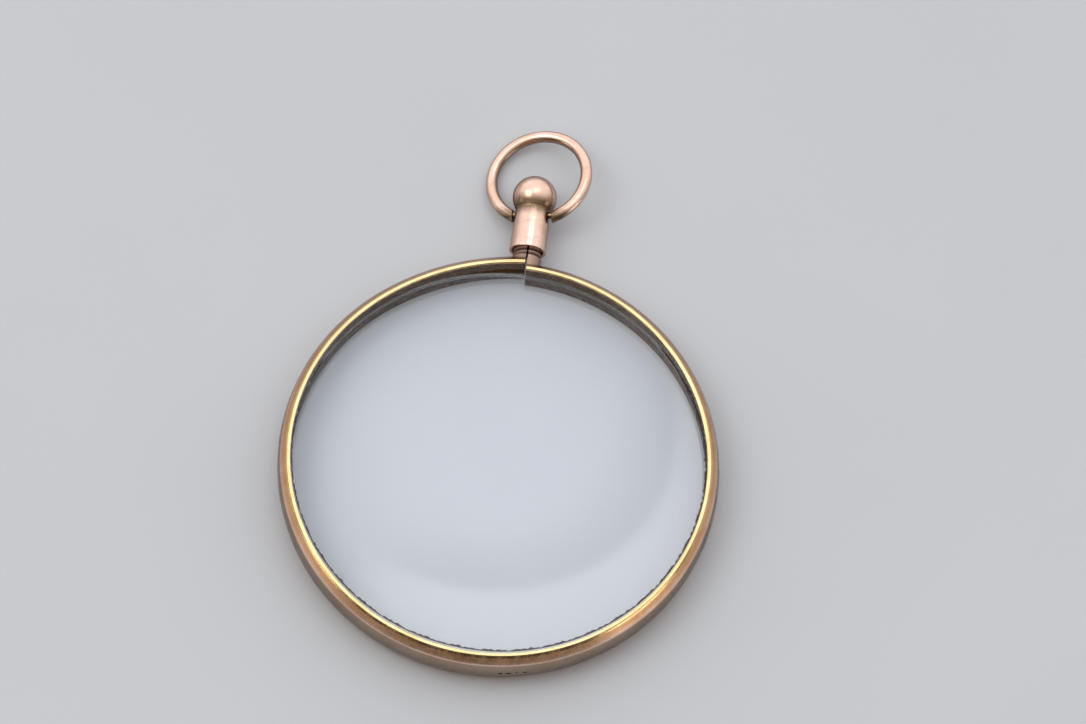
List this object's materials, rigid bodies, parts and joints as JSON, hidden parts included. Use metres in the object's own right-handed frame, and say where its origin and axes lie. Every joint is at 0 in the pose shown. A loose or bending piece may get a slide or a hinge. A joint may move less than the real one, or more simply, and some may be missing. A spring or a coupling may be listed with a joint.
{
  "type": "hand lens",
  "caption": "Pendant hand lens: round lens in a split metal rim with a threaded stud, screw cap with ball finial, and a swinging wire bow.",
  "frame": {"origin": "on the viewing axis, in the plane that the back of the rim rests on", "axes": "+Z along the viewing axis out of the front of the lens, +Y from the lens to the neck, +X to the right"},
  "size_m": [0.042, 0.0568, 0.0047],
  "materials": {
    "rim_gold": "polished yellow gold, rose toned outside, worn",
    "stud_gold": "tarnished rose gold",
    "cap_gold": "polished rose gold, worn",
    "bow_gold": "polished rose gold, worn",
    "lens_glass": "clear polished crown glass"
  },
  "bodies": {
    "glass": {"rim": "rim_gold", "left_half_post": "stud_gold", "right_half_post": "stud_gold", "lens": "lens_glass"},
    "cap_ball": {"ball_finial": "cap_gold"},
    "cap": {"neck_sleeve": "cap_gold"},
    "bow": {"bow": "bow_gold"}
  },
  "joints": [
    {"name": "cap_travel", "type": "slide", "parent": "glass", "child": "cap_ball", "axis": [0, 1, 0], "range_m": [0, 0.0035]},
    {"name": "cap_turn", "type": "hinge", "parent": "cap_ball", "child": "cap", "pos_m": [0, 0.025, 0.00235], "axis": [0, 1, 0], "range_deg": [0, 2525]},
    {"name": "bow_swing", "type": "hinge", "parent": "cap", "child": "bow", "pos_m": [0, 0.0265, 0.00235], "axis": [0.9598, 0, 0.2807], "range_deg": [-141, 150]}
  ],
  "couplings": [
    {"joint": "cap_turn", "follows": "cap_travel", "rad_per_m": 12566}
  ]
}
